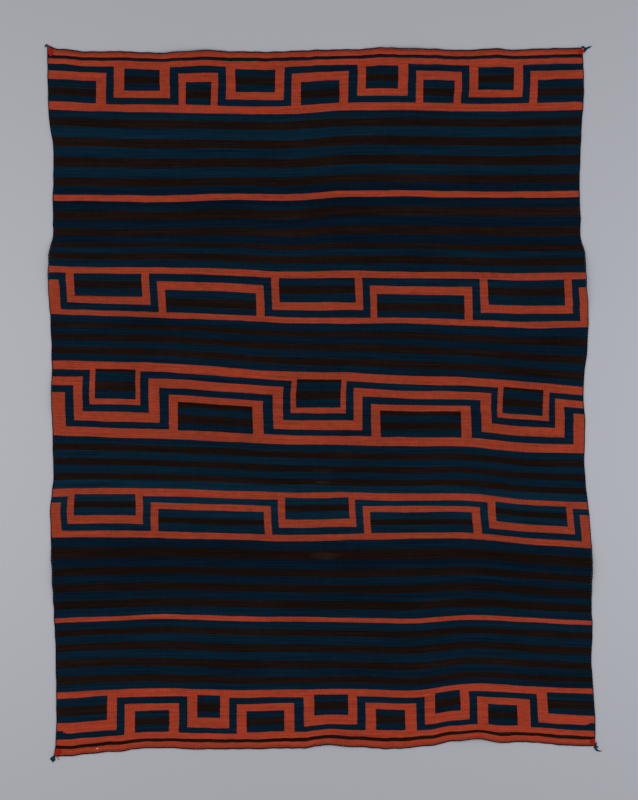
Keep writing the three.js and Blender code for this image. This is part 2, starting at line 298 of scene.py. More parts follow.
# The stepped fret of each band. Rows run along the web, bars and boxes across it.
# Each box row holds: its top, the brown stripes inside it, its bottom.
BANDS = (
    {
        "starts_high": True,
        "high": (36, 53),
        "low": (117, 134),
        "bars": (
            (-538, -518.5),
            (-373.5, -350.5),
            (-251, -230.5),
            (-80, -60.5),
            (84.5, 108),
            (237.5, 259),
            (375.5, 395.5),
            (532.5, 551.5),
        ),
        "hanging": (42, ((61, 80.5),), 99),
        "hanging_boxes": ((-492.5, -399), (-207, -103.5), (129, 212.5), (418, 509.5)),
        "standing": (75, ((96, 116.3),), 133),
        "standing_boxes": (
            (-720, -563),
            (-333, -268),
            (-37, 62.5),
            (277.5, 357),
            (571, 720),
        ),
    },
    {
        "starts_high": True,
        "high": (574.5, 595),
        "low": (656.5, 675.5),
        "bars": (
            (-658.5, -640.5),
            (-429.5, -409.5),
            (-138.5, -118),
            (114.5, 133),
            (394, 414.5),
            (648, 665.5),
        ),
        "hanging": (575, ((594.8, 614.5),), 637),
        "hanging_boxes": ((-621, -449), (-98.5, 95.5), (434.5, 629.5)),
        "standing": (616, ((637.5, 659),), 675.5),
        "standing_boxes": ((-390, -159), (149.5, 373.5)),
    },
    {
        "starts_high": True,
        "high": (835, 890),
        "low": (917, 975),
        "heart_high": (852, 872.5),
        "heart_low": (935, 959),
        "bars": (
            (-651.5, -588),
            (-458, -384.5),
            (-140.5, -69),
            (73, 139),
            (396.5, 466),
            (597.5, 658),
        ),
        "heart_bars": (
            (-629, -606),
            (-436, -408.5),
            (-115, -89),
            (93.5, 116),
            (423, 450),
            (613, 636),
        ),
        "hanging": (831.5, ((831.5, 839), (861.2, 882.7)), 903.5),
        "hanging_boxes": ((-574, -470), (-55, 60), (479, 582)),
        "standing": (906, ((906, 919.3), (937.5, 957.8)), 976),
        "standing_boxes": ((-362, -167.5), (162.5, 370.5)),
    },
    {
        "starts_high": True,
        "high": (1136, 1151.5),
        "low": (1205.5, 1223),
        "bars": (
            (-659.5, -643),
            (-452, -432),
            (-123, -104.5),
            (94, 113),
            (413, 434),
            (648, 664),
        ),
        "hanging": (1131, ((1148.7, 1164.8),), 1185),
        "hanging_boxes": ((-626.5, -470), (-86.5, 78.5), (454.5, 632.5)),
        "standing": (1167, ((1187, 1201.5),), 1223),
        "standing_boxes": ((-413, -141), (130, 391.5)),
    },
    {
        "starts_high": False,
        "high": (1631.5, 1647.5),
        "low": (1706.3, 1720.2),
        "bars": (
            (-531, -510.5),
            (-372.5, -351),
            (-244.5, -225),
            (-77.5, -52.5),
            (82.5, 104.5),
            (234, 256),
            (369.5, 389.5),
            (524, 543.5),
        ),
        "hanging": (1626, ((1645.1, 1666.2),), 1681.5),
        "hanging_boxes": (
            (-720, -555),
            (-325.5, -266.5),
            (-26.5, 59.5),
            (282.5, 347),
            (569.5, 720),
        ),
        "standing": (1664.5, ((1681, 1699.2),), 1717.5),
        "standing_boxes": ((-484.5, -397), (-200.5, -102.5), (130.5, 205.5), (416.5, 491.5)),
    },
)

# Dark weft that steps into the orange at the selvages: across from and to, along from and to
NOTCHES = (
    (-720, -669, 1700.5, 1704.2),
    (-720, -661, 1704.2, 1708),
    (671, 720, 1701, 1704.5),
    (662, 720, 1704.5, 1708),
)

# Spots where pale undyed wool shows: across, along, half width, half length, share
PALE_SPOTS = (
    (-579, 1748, 3.4, 1.3, 0.8),
    (12, 1062.5, 26, 6, 0.006),
    (8, 1091, 20, 4, 0.014),
    (8, 1277, 38, 10, 0.012),
)


def dye(red, green, blue):
    """A yarn colour as the eye reads it, 0 to 255, turned into the light that Blender counts."""
    return tuple(
        round(c / 12.92 if c <= 0.04045 else ((c + 0.055) / 1.055) ** 2.4, 5)
        for c in (red / 255, green / 255, blue / 255)
    )


def through(knots, values, at):
    """A smooth curve through the knots, level outside them."""
    last = len(knots) - 1
    if at <= knots[0]:
        return values[0]
    if at >= knots[last]:
        return values[last]
    i = 0
    while at > knots[i + 1]:
        i += 1

    def slope(k):
        a, b = max(k - 1, 0), min(k + 1, last)
        return (values[b] - values[a]) / (knots[b] - knots[a])

    span = knots[i + 1] - knots[i]
    t = (at - knots[i]) / span
    u = 1 - t
    return (
        u * u * (1 + 2 * t) * values[i]
        + t * t * (3 - 2 * t) * values[i + 1]
        + t * u * span * (u * slope(i) - t * slope(i + 1))
    )


SIDE_ROWS = [row[0] for row in SIDES]
LEFT_SIDE = [row[1] + EDGE_CORD_ROOM for row in SIDES]
RIGHT_SIDE = [row[2] - EDGE_CORD_ROOM for row in SIDES]
WEFT_ROWS = [row[0] for row in WEFT_LINES]


@lru_cache(maxsize=None)
def creeps(across):
    """How far each weft line has crept at one place across the web."""
    return [through(WEFT_PLACES, row[1], across) for row in WEFT_LINES]


@lru_cache(maxsize=None)
def selvages(along):
    """Where the two edges lie at one distance along the web."""
    return through(SIDE_ROWS, LEFT_SIDE, along), through(SIDE_ROWS, RIGHT_SIDE, along)


def bulge(edge, share, inside):
    """How far an edge bulges at a share of its length, dying away inwards."""
    if inside >= WAVE_REACH:
        return 0.0
    waves = EDGE_WAVES[edge]
    out = through(range(len(waves)), waves, share * (len(waves) - 1))
    own_row = len(edge) * 7.3
    scallop = SCALLOP_HIGH * noise.noise((share * SCALLOP_BEATS, own_row, 0.4))
    out += scallop * min(1, SCALLOP_RISE * share * (1 - share))
    for place, reach, far in EDGE_PULLS[edge]:
        out += far * max(0.0, 1 - ((share - place) / reach) ** 2) ** 2
    return out * (1 - inside / WAVE_REACH) ** 2


def lift(across, along):
    """Height of the underside of the cloth over the floor."""
    high = 0.0
    for middle, distance, half_wide, half_long, top in COCKLES:
        r = math.hypot((across - middle) / half_wide, (along - distance) / half_long)
        if r < 1:
            high += top * (0.5 + 0.5 * math.cos(math.pi * r))
    return high


def web_point(across, along):
    """Where a point of the web lies, in millimetres, with the height of its underside."""
    left, right = selvages(along)
    share_across, share_along = across / LOOM_WIDTH + 0.5, along / LOOM_LENGTH
    x = left + share_across * (right - left)
    x += bulge("right", share_along, LOOM_WIDTH / 2 - across)
    x -= bulge("left", share_along, LOOM_WIDTH / 2 + across)
    y = LOOM_LENGTH / 2 - along + through(WEFT_ROWS, creeps(across), along)
    y += bulge("top", share_across, along)
    y -= bulge("bottom", share_across, LOOM_LENGTH - along)
    for side, end, pull_x, pull_y in CORNERS:
        from_side = abs(across - side * LOOM_WIDTH / 2) / CORNER_REACH
        from_end = abs(along - end * LOOM_LENGTH) / CORNER_REACH
        if from_side < 1 and from_end < 1:
            pull = (1 - from_side) ** 2 * (1 - from_end) ** 2
            x += pull_x * pull
            y += pull_y * pull
    return Vector((x + CLOTH_MIDDLE.x, y + CLOTH_MIDDLE.y, lift(across, along)))


def ruffle(across, along):
    """Small unevenness of the face. It is flat at the edges, where the cords lie."""
    from_side = LOOM_WIDTH / 2 - abs(across)
    from_end = LOOM_LENGTH / 2 - abs(along - LOOM_LENGTH / 2)
    broad = noise.noise((across / 85, along / 48, 0))
    uneven = broad + 0.5 * noise.noise((across / 31, along / 22, 3))
    return RUFFLE_HIGH * max(1 + uneven, 0) * min(from_side, from_end, RUFFLE_REACH) / RUFFLE_REACH


class Wire:
    """One value in a material. Arithmetic on it adds the maths nodes that work it out."""

    def __init__(self, look, socket):
        self.look = look
        self.socket = socket

    def math(self, operation, *values):
        return self.look.node("ShaderNodeMath", {"operation": operation}, values)

    def __add__(self, other):
        return self.math("ADD", self, other)

    def __sub__(self, other):
        return self.math("SUBTRACT", self, other)

    def __rsub__(self, other):
        return self.math("SUBTRACT", other, self)

    def __mul__(self, other):
        return self.math("MULTIPLY", self, other)

    def __truediv__(self, other):
        return self.math("DIVIDE", self, other)

    def __gt__(self, other):
        return self.math("GREATER_THAN", self, other)

    def __or__(self, other):
        return self.math("MAXIMUM", self, other)

    def __and__(self, other):
        return self.math("MINIMUM", self, other)

    __radd__ = __add__

    def floor(self):
        return self.math("FLOOR", self)

    def wave(self, period):
        """Rises and falls between 0 and 1 once in each period."""
        return self.math("SINE", self * (2 * math.pi / period)) * 0.5 + 0.5

    def held(self, low, high):
        """0 at low and under, 1 at high and over."""
        return self.look.node(
            "ShaderNodeMapRange", {"clamp": True}, {"Value": self, "From Min": low, "From Max": high}
        )


class Look:
    """One material and the nodes that make it."""

    def __init__(self, name):
        self.material = bpy.data.materials.new(name)
        self.material.use_nodes = True
        self.tree = self.material.node_tree
        self.tree.nodes.clear()

    def node(self, kind, settings=(), inputs=(), output=0):
        made = self.tree.nodes.new(kind)
        for name, value in dict(settings).items():
            setattr(made, name, value)
        pairs = inputs.items() if isinstance(inputs, dict) else enumerate(inputs)
        for place, value in pairs:
            if isinstance(value, Wire):
                self.tree.links.new(value.socket, made.inputs[place])
            else:
                made.inputs[place].default_value = value
        return Wire(self, made.outputs[output]) if made.outputs else None

    def point(self, x, y, z=0.0):
        return self.node("ShaderNodeCombineXYZ", (), (x, y, z))

    def parts(self, vector):
        split = self.node("ShaderNodeSeparateXYZ", (), (vector,))
        return [Wire(self, socket) for socket in split.socket.node.outputs]

    def noise(self, vector, detail=2.0):
        """Soft random values about 0.5."""
        return self.node(
            "ShaderNodeTexNoise",
            {"noise_dimensions": "3D"},
            {"Vector": vector, "Scale": 1.0, "Detail": detail, "Roughness": 0.5},
        )

    def chance(self, vector):
        """A fresh random value, 0 to 1, for each whole place."""
        return self.node("ShaderNodeTexWhiteNoise", {"noise_dimensions": "3D"}, {"Vector": vector})

    def along_table(self, share, table, whole):
        """A value that runs through the rows of a table of places and values."""
        made = self.node("ShaderNodeValToRGB", (), (share,))
        stops = made.socket.node.color_ramp.elements
        for place, value in table[1:-1]:
            stops.new(place / whole).color = (value, value, value, 1)
        for stop, (place, value) in zip((stops[0], stops[-1]), (table[0], table[-1])):
            stop.position = place / whole
            stop.color = (value, value, value, 1)
        return made

    def blend(self, share, first, second, way="MIX"):
        """Colour that goes from first to second."""
        colours = [c if isinstance(c, Wire) else (*c, 1.0) for c in (first, second)]
        return self.node(
            "ShaderNodeMix",
            {"data_type": "RGBA", "blend_type": way},
            {0: share, 6: colours[0], 7: colours[1]},
            output=2,
        )

    def shade(self, colour, amount):
        """Colour made lighter or darker by a value about 1."""
        grey = self.node("ShaderNodeCombineColor", (), (amount, amount, amount))
        return self.blend(1.0, colour, grey, "MULTIPLY")

    def finish(self, colour, roughness, height, depth, sheen):
        """Yarn surface: dyed colour, matte shine, raised relief and a soft fuzz at the edges."""
        relief = self.node(
            "ShaderNodeBump", (), {"Strength": 1.0, "Distance": depth * MM, "Height": height}
        )
        surface = self.node(
            "ShaderNodeBsdfPrincipled",
            (),
            {
                "Base Color": colour,
                "Roughness": roughness,
                "Normal": relief,
                "Specular IOR Level": 0.03,
                "Sheen Weight": sheen,
                "Sheen Roughness": 0.6,
                "Sheen Tint": (0.75, 0.72, 0.7, 1.0),
            },
        )
        self.node("ShaderNodeOutputMaterial", (), {"Surface": surface})
        return self.material


def toggles(place, pairs):
    """1 inside each pair of marks and 0 outside."""
    inside = 0.0
    for start, stop in pairs:
        inside = (place > start) + inside - (place > stop)
    return inside


def fret(u, v, band):
    """Masks of one band: where the stepped line runs, and where boxes of ground and brown show."""
    middles = [(start + stop) / 2 for start, stop in band["bars"]]
    if band["starts_high"]:
        middles = [-LOOM_WIDTH, *middles]
    if len(middles) % 2:
        middles.append(2 * LOOM_WIDTH)
    high = toggles(u, zip(middles[::2], middles[1::2]))

    def path(bars, top, bottom):
        upright = toggles(u, bars) * toggles(v, ((top[0], bottom[1]),))
        return upright | (high * toggles(v, (top,))) | ((1 - high) * toggles(v, (bottom,)))

    line = path(band["bars"], band["high"], band["low"])
    if "heart_bars" in band:
        line = line - path(band["heart_bars"], band["heart_high"], band["heart_low"])
    boxes, brown = 0.0, 0.0
    for kind in ("hanging", "standing"):
        top, stripes, bottom = band[kind]
        across = toggles(u, band[kind + "_boxes"])
        boxes = across * toggles(v, ((top, bottom),)) + boxes
        brown = across * toggles(v, stripes) + brown
    return line, boxes, brown


def woven_wool(colours):
    """Weft-faced wool: the whole pattern, its dye lots and its ribs, on the cloth's own loom map.
    The ribs are also painted into the colour as painted shade.
    """
    look = Look("handwoven_wool")
    across, along, _ = look.parts(look.node("ShaderNodeUVMap", {"uv_map": "loom"}))
    across = across * (MAP_METRES / MM) - LOOM_WIDTH / 2
    along = along * (MAP_METRES / MM)

    # Weft lines waver, bars lean a little, and each join steps from pick to pick
    waver = look.noise(look.point(across / 95, along / 26)) - 0.5
    lean = look.noise(look.point(across / 130, along / 110, 4.0)) - 0.5
    step = look.chance(look.point((across / 70).floor(), (along / 3.4).floor())) - 0.5
    nip = look.chance(look.point((across / WARP_PITCH).floor(), (along / 9).floor(), 5.0)) - 0.5
    u = across + lean * 7 + step * 0.9
    v = along + waver * 5 + nip * 0.35

    orange = toggles(v, ORANGE_ROWS)
    brown = toggles(v, BROWN_STRIPES)
    for band in BANDS:
        line, boxes, box_brown = fret(u, v, band)
        orange = orange - (line | boxes)
        brown = brown + box_brown
    for left, right, top, bottom in NOTCHES:
        notch = toggles(u, ((left, right),)) * toggles(v, ((top, bottom),))
        orange = orange & (1 - notch)

    # Dye lots change down the web; each pick, slub and blotch is a little lighter or darker
    lot = look.along_table(along / LOOM_LENGTH, DYE_LOTS, LOOM_LENGTH)
    streak = look.noise(look.point(across / 900, along / 11, 9.0), detail=3.0) - 0.5
    pick = look.noise(look.point(across / 170, along / 2.6, 2.0), detail=1.0) - 0.5
    slub = look.noise(look.point(across / 21, along / 4.2, 7.0), detail=2.0) - 0.5
    blotch = look.noise(look.point(across / 22, along / 26, 3.0), detail=3.0) - 0.5
    cloud = look.noise(look.point(across / 210, along / 150, 3.0), detail=2.0) - 0.5
    uneven = pick * (1.8 - orange * 0.9) + slub * 0.5 + (blotch + cloud) * (0.35 - orange * 0.17)

    indigo = look.blend((lot + streak * 0.9).held(0, 1), colours.indigo, colours.indigo_pale)
    brown_lot = look.along_table(along / LOOM_LENGTH, BROWN_LOTS, LOOM_LENGTH)
    umber = look.blend(
        (brown_lot + streak + slub * 0.5 + cloud).held(0.1, 0.8),
        colours.brown,
        colours.brown_pale,
    )
    red_lot = look.along_table(along / LOOM_LENGTH, ORANGE_LOTS, LOOM_LENGTH)
    madder = look.blend(
        (red_lot + cloud * 0.6 + blotch * 0.5 + slub * 0.4).held(0, 1),
        colours.orange,
        colours.orange_pale,
    )
    ground = look.blend(brown, indigo, umber)
    dyed = look.blend(orange, ground, madder)
    for middle, distance, half_wide, half_long, share in PALE_SPOTS:
        aside, down = (across - middle) / half_wide, (along - distance) / half_long
        shows = (1.3 - aside * aside - down * down + slub).held(0, 1) * share
        dyed = look.blend(shows, dyed, (0.7, 0.42, 0.26))

    # Warp ribs, crossed by the imported picks. They raise the bump, and their crowns and hollows are
    # also painted into the colour as painted shade
    drift = look.noise(look.point(across / 12, along / 70, 6.0), detail=1.0)
    rib = (across + drift * 4).wave(WARP_PITCH)
    packed = (along + rib * 0.45).wave(PICK_PITCH)
    weave_relief_and_shade = rib * 0.65 + packed * 0.35
    # Painted shade: the colour is darker in the hollows and lighter on the crowns of the ribs and
    # picks, on top of the yarn's own uneven tone
    dyed = look.shade(dyed, 1.0 + uneven + (weave_relief_and_shade - 0.5) * (0.45 - orange * 0.18))
    height = weave_relief_and_shade + slub * 0.8 + pick * 0.5
    return look.finish(dyed, 0.92, height, 0.5, 0.02)


def twisted_yarn(name, colour, pale, lay_angle):
    """Spun yarn seen close: fine fibres across the twist, paler where it has rubbed. The fibres'
    relief is partly painted into the colour as shade.
    """
    look = Look(name)
    x, y, z = look.parts(look.node("ShaderNodeTexCoord", output=3))
    slant = x * math.cos(lay_angle) + y * math.sin(lay_angle)
    fibre = look.noise(look.point(slant * 2600, (y - x) * 500, z * 900), detail=3.0)
    tone = look.noise(look.point(x * 60, y * 60, z * 60), detail=2.0)
    rubbed = (fibre * 0.6 + tone * 0.4).held(0.42, 0.72)
    # Lighter and darker fibres: partly the fibres' own tone and partly painted shade of their
    # relief, since the same values raise the bump
    dyed = look.shade(look.blend(rubbed, colour, pale), 0.75 + fibre * 0.5)
    return look.finish(dyed, 0.88, fibre, 0.25, 0.03)


class SerapeSizes(bpy.types.PropertyGroup):
    """Sizes that a weaver would choose."""

    cloth_thick: bpy.props.FloatProperty(
        name="Cloth thickness",
        description="From the underside of the web to its face",
        default=CLOTH_THICK * MM,
        min=0.0005,
        unit="LENGTH",
    )
    end_cord: bpy.props.FloatProperty(
        name="End cord",
        description="Thickness of the twined cord along each end",
        default=END_CORD * MM,
        min=0.0005,
        unit="LENGTH",
    )
    side_cord: bpy.props.FloatProperty(
        name="Side cord",
        description="Thickness of the cord along each selvage",
        default=SIDE_CORD * MM,
        min=0.0005,
        unit="LENGTH",
    )
    cells_across: bpy.props.IntProperty(
        name="Cells across",
        description="Grid cells of the web from side to side",
        default=150,
        min=20,
    )
    cells_along: bpy.props.IntProperty(
        name="Cells along",
        description="Grid cells of the web from end to end",
        default=190,
        min=20,
    )


def colour_choice(name, description, value):
    """One dye that a user may change."""
    return bpy.props.FloatVectorProperty(
        name=name, description=description, default=value, size=3, min=0, max=1, subtype="COLOR"
    )


class SerapeColours(bpy.types.PropertyGroup):
    """Dyes and natural wools."""

    orange: colour_choice("Orange-red", "Dyed weft of the bands and lines", dye(130, 52, 32))
    orange_pale: colour_choice("Pale orange-red", "Where the dye took lightly", dye(159, 57, 36))
    indigo: colour_choice("Indigo", "Dark indigo weft of the ground", dye(2, 17, 32))
    indigo_pale: colour_choice("Pale indigo", "Lighter, greener dye lot", dye(5, 34, 50))
    brown: colour_choice("Brown", "Undyed dark wool of the ground", dye(20, 10, 6))
    brown_pale: colour_choice("Pale brown", "Sun-faded dark wool", dye(28, 16, 12))
    cord: colour_choice("Edge cord", "Very dark indigo cord", dye(6, 9, 16))
    red: colour_choice("Binding red", "Red yarn at the corners", dye(150, 26, 18))
    tassel: colour_choice("Tassel", "Frayed blue-green cord ends", dye(10, 42, 56))


def new_piece(name, bm, look):
    """A mesh object at the origin, made from the bmesh with its material and smooth faces."""
    mesh = bpy.data.meshes.new(name)
    bm.to_mesh(mesh)
    bm.free()
    mesh.materials.append(look)
    mesh.polygons.foreach_set("use_smooth", [True] * len(mesh.polygons))
    piece = bpy.data.objects.new(name, mesh)
    bpy.context.scene.collection.objects.link(piece)
    return piece


class SERAPE_OT_web(bpy.types.Operator):
    """Weave the web: one sheet on the loom's grid, laid in its uneven shape."""

    bl_idname = "serape.web"
    bl_label = "Web"

    def execute(self, context):
        sizes = context.scene.serape_sizes
        look = woven_wool(context.scene.serape_colours)
        bm = bmesh.new()
        loom = bm.loops.layers.uv.new("loom")
        bmesh.ops.create_grid(
            bm, x_segments=sizes.cells_across, y_segments=sizes.cells_along, size=0.5
        )
        for face in bm.faces:
            for loop in face.loops:
                place = loop.vert.co
                loop[loom].uv = (
                    (place.x + 0.5) * LOOM_WIDTH * MM / MAP_METRES,
                    (0.5 - place.y) * LOOM_LENGTH * MM / MAP_METRES,
                )
        for vert in bm.verts:
            across, along = vert.co.x * LOOM_WIDTH, (0.5 - vert.co.y) * LOOM_LENGTH
            place = web_point(across, along)
            place.z += ruffle(across, along)
            vert.co = place * MM + Vector((0, 0, sizes.cloth_thick))
        web = new_piece("serape_web", bm, look)
        thickness = web.modifiers.new("thickness", "SOLIDIFY")
        thickness.thickness = sizes.cloth_thick
        thickness.offset = -1
        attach(web, "root")
        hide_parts("woven_cloth")
        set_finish(web, "woven")
        return {"FINISHED"}


def edge_path(kind):
    """The edge of the web that a cord lies against, walked with the outside on its right."""
    half = LOOM_WIDTH / 2
    steps = [i / EDGE_STEPS for i in range(EDGE_STEPS + 1)]
    if kind == "top":
        return [web_point(half - LOOM_WIDTH * t, 0) for t in steps]
    if kind == "bottom":
        return [web_point(LOOM_WIDTH * t - half, LOOM_LENGTH) for t in steps]
    if kind == "left":
        return [web_point(-half, LOOM_LENGTH * t) for t in steps]
    return [web_point(half, LOOM_LENGTH * (1 - t)) for t in steps]


def cord_line(edge, size):
    """The middle line of a cord that lies against the outside of an edge."""
    line = []
    for i, place in enumerate(edge):
        before, after = edge[max(i - 1, 0)], edge[min(i + 1, len(edge) - 1)]
        run = Vector((after.x - before.x, after.y - before.y)).normalized()
        line.append(place + Vector((run.y, -run.x, 1)) * size / 2)
    return line


def twisted_cord(bm, line, size, plies=2, turn_length=7.5, sides=6, steps_a_turn=8):
    """Plies spun round each other, each rolled from a long strip and laid along the cord's line."""
    lengths = [0.0]
    for a, b in zip(line, line[1:]):
        lengths.append(lengths[-1] + (b - a).length)
    turns = round(lengths[-1] / turn_length)
    ply = size * 0.29
    for number in range(plies):
        strip = bmesh.ops.create_grid(
            bm, x_segments=turns * steps_a_turn, y_segments=sides, size=0.5
        )["verts"]
        i = 0
        for vert in sorted(strip, key=lambda vert: vert.co.x):
            along, roll = min(max(vert.co.x + 0.5, 0), 1), vert.co.y * 2 * math.pi
            while i + 2 < len(line) and lengths[i + 1] < along * lengths[-1]:
                i += 1
            t = (along * lengths[-1] - lengths[i]) / (lengths[i + 1] - lengths[i])
            run = (line[i + 1] - line[i]).normalized()
            side = Vector((run.y, -run.x, 0)).normalized()
            lay = 2 * math.pi * (along * turns + number / plies)
            out = (size / 2 - ply) * math.cos(lay) + ply * math.cos(lay + roll)
            up = (size / 2 - ply) * math.sin(lay) + ply * math.sin(lay + roll)
            vert.co = (line[i].lerp(line[i + 1], t) + side * out + Vector((0, 0, up))) * MM
    bmesh.ops.remove_doubles(bm, verts=bm.verts, dist=1e-6)
    bmesh.ops.holes_fill(bm, edges=[edge for edge in bm.edges if edge.is_boundary], sides=sides)
    bmesh.ops.recalc_face_normals(bm, faces=bm.faces)


class SERAPE_OT_edge_cords(bpy.types.Operator):
    """Twist the two end cords and the two side cords and lay them round the web."""

    bl_idname = "serape.edge_cords"
    bl_label = "Edge cords"

    def execute(self, context):
        sizes, colours = context.scene.serape_sizes, context.scene.serape_colours
        look = twisted_yarn("edge_cord_yarn", colours.cord, colours.indigo_pale, 0.7)
        for kind, node, size in (
            ("top", "top_end_cord", sizes.end_cord / MM),
            ("bottom", "bottom_end_cord", sizes.end_cord / MM),
            ("left", "left_side_cord", sizes.side_cord / MM),
            ("right", "right_side_cord", sizes.side_cord / MM),
        ):
            bm = bmesh.new()
            twisted_cord(bm, cord_line(edge_path(kind), size), size)
            cord = new_piece(kind + "_twisted_cord", bm, look)
            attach(cord, "root")
            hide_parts(node)
            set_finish(cord, "edging")
        return {"FINISHED"}


# Red bindings over the face of each corner. Each bead of turns runs between two ends.
BEADS = {
    "top_left_wrap": (((-682.6, 882.4), (-680.4, 867.4), 6.4, 3.6),),
    "top_right_wrap": (((656.6, 877), (665.4, 875.8), 7, 4.4),),
    "bottom_left_wrap": (
        ((-666.4, -890.6), (-667, -904.6), 4.3, 4.2),
        ((-658, -888.6), (-663, -903), 4.4, 4),
    ),
    "bottom_right_wrap": (((691, -864), (690.2, -876), 6.4, 3.6),),
}
# A loose end of the binding: place, height of its middle, and thickness
LOOSE_THREAD = (
    (-665.6, -901, 4.8, 1.6),
    (-664.6, -909.6, 4.4, 1.5),
    (-662.4, -913.2, 1.2, 1.4),
    (-659.6, -916.6, 0.5, 0.9),
)
# Cord ends frayed into locks that lie on the floor: place and width along each lock
TASSELS = {
    "top_left_tassel": (
        ((-688.3, 892.8, 2.8), (-691.4, 892.6, 4.4), (-694.8, 890.8, 3), (-698.2, 890, 1)),
        ((-688.8, 892.8, 2.6), (-692.4, 894.2, 2.4), (-697, 893.4, 0.8)),
        ((-690, 892.6, 2.8), (-693.2, 889.4, 2), (-695.6, 886.8, 0.8)),
    ),
    "top_right_tassel": (
        ((662, 887.6, 3), (666, 887.8, 5.6), (669.4, 884.8, 5), (671, 880.6, 4.4)),
        (
            (668, 874.6, 3),
            (670.6, 879.6, 6),
            (675, 884.6, 5.4),
            (683.6, 889, 3),
            (688.6, 891.8, 0.8),
        ),
        ((669.4, 881.6, 5), (677, 884.8, 3.2), (685.4, 887, 0.8)),
    ),
    "bottom_left_tassel": (
        ((-674, -906.4, 3.4), (-676.4, -915, 4), (-675.8, -922.8, 1.4)),
        ((-674, -906.4, 3), (-679.4, -914, 3.2), (-676.6, -921.6, 1.2)),
        ((-674, -906.4, 3), (-682, -913.6, 2.8), (-677.6, -920, 1)),
        ((-674, -906.4, 3), (-673.4, -914.6, 3.2), (-675, -921.8, 1.2)),
        ((-674, -906.4, 3), (-670.8, -915, 2.8), (-674, -920.4, 1)),
    ),
    "bottom_right_tassel": (
        (
            (695.6, -879.4, 4.6),
            (696.6, -885.4, 6.4),
            (700, -890.2, 5.2),
            (706.4, -893.4, 3.2),
            (715, -893.8, 0.8),
        ),
        ((696.6, -883.4, 4.6), (701, -883.4, 4.8), (705.6, -882.4, 1.6)),
        ((697, -884, 4.4), (698, -877.6, 5), (699.4, -871.4, 1.8)),
    ),
}
YARNS_A_LOCK = 4


def on_floor(x, y, z=0.0):
    """A place given from the cloth's middle point."""
    return Vector((x + CLOTH_MIDDLE.x, y + CLOTH_MIDDLE.y, z))


def yarn_along(bm, stations, sides=6):
    """A closed length of yarn swept through stations of a place and a radius, in millimetres."""
    frames = []
    for i, (place, radius) in enumerate(stations):
        before, after = stations[max(i - 1, 0)][0], stations[min(i + 1, len(stations) - 1)][0]
        turn = (after - before).to_track_quat("Z", "Y").to_matrix().to_4x4()
        size = Matrix.Diagonal((radius * MM, radius * MM, MM, 1))
        frames.append(Matrix.Translation(place * MM) @ turn @ size)
    ring = bmesh.ops.create_circle(bm, segments=sides, radius=1, matrix=frames[0])["verts"]
    edges = list({edge for vert in ring for edge in vert.link_edges})
    first = edges
    for here, there in zip(frames, frames[1:]):
        made = bmesh.ops.extrude_edge_only(bm, edges=edges)["geom"]
        verts = [item for item in made if isinstance(item, bmesh.types.BMVert)]
        edges = [
            item
            for item in made
            if isinstance(item, bmesh.types.BMEdge) and all(v in verts for v in item.verts)
        ]
        bmesh.ops.transform(bm, matrix=there @ here.inverted(), verts=verts)
    bmesh.ops.edgeloop_fill(bm, edges=first)
    bmesh.ops.edgeloop_fill(bm, edges=edges)


def bead_of_turns(bm, start, stop, half_wide, high, yarn=0.85, steps=18, sides=6):
    """Binding yarn wound side by side round a small core, flattened as it sits on the cloth."""
    run = Vector(stop) - Vector(start)
    half = run.length / 2 + half_wide * 0.4
    turns = round((half - yarn) / yarn)
    reach = 2 * (half - yarn)
    coil = 10
    shape = bmesh.new()
    ring = bmesh.ops.create_circle(
        shape,
        segments=sides,
        radius=yarn,
        matrix=Matrix.Translation((-reach / 2, coil, 0)) @ Matrix.Rotation(math.pi, 4, "Y"),
    )["verts"]
    rims = list({edge for vert in ring for edge in vert.link_edges})
    made = bmesh.ops.spin(
        shape,
        geom=ring + rims,
        cent=(0, 0, 0),
        axis=(1, 0, 0),
        dvec=(reach / (turns * steps), 0, 0),
        angle=2 * math.pi * turns,
        steps=turns * steps,
        use_duplicate=False,
    )["geom_last"]
    bmesh.ops.edgeloop_fill(shape, edges=rims)
    bmesh.ops.edgeloop_fill(shape, edges=[e for e in made if isinstance(e, bmesh.types.BMEdge)])
    for vert in shape.verts:
        x, y, z = vert.co
        from_ring = math.hypot(y, z) - coil
        angle = math.atan2(z, y)
        round_off = math.sqrt(max(1 - (x / half) ** 2, 0.02))
        vert.co.y = math.cos(angle) * (max(half_wide * round_off - yarn, yarn) + from_ring)
        vert.co.z = math.sin(angle) * (max(high / 2 * round_off - yarn, yarn * 0.6) + from_ring)
    core = bmesh.ops.create_uvsphere(shape, u_segments=14, v_segments=10, radius=1)["verts"]
    bmesh.ops.scale(
        shape, verts=core, vec=(half - yarn, max(half_wide - yarn, 0.5), max(high / 2 - yarn, 0.5))
    )
    bmesh.ops.recalc_face_normals(shape, faces=shape.faces)
    middle = (Vector(start) + Vector(stop)) / 2
    place = on_floor(middle.x, middle.y, CLOTH_THICK + GAP + high / 2)
    turn = Matrix.Rotation(math.atan2(run.y, run.x), 4, "Z")
    bmesh.ops.transform(
        shape,
        matrix=Matrix.Scale(MM, 4) @ Matrix.Translation(place) @ turn,
        verts=shape.verts,
    )
    mesh = bpy.data.meshes.new("turns")
    shape.to_mesh(mesh)
    shape.free()
    bm.from_mesh(mesh)
    bpy.data.meshes.remove(mesh)


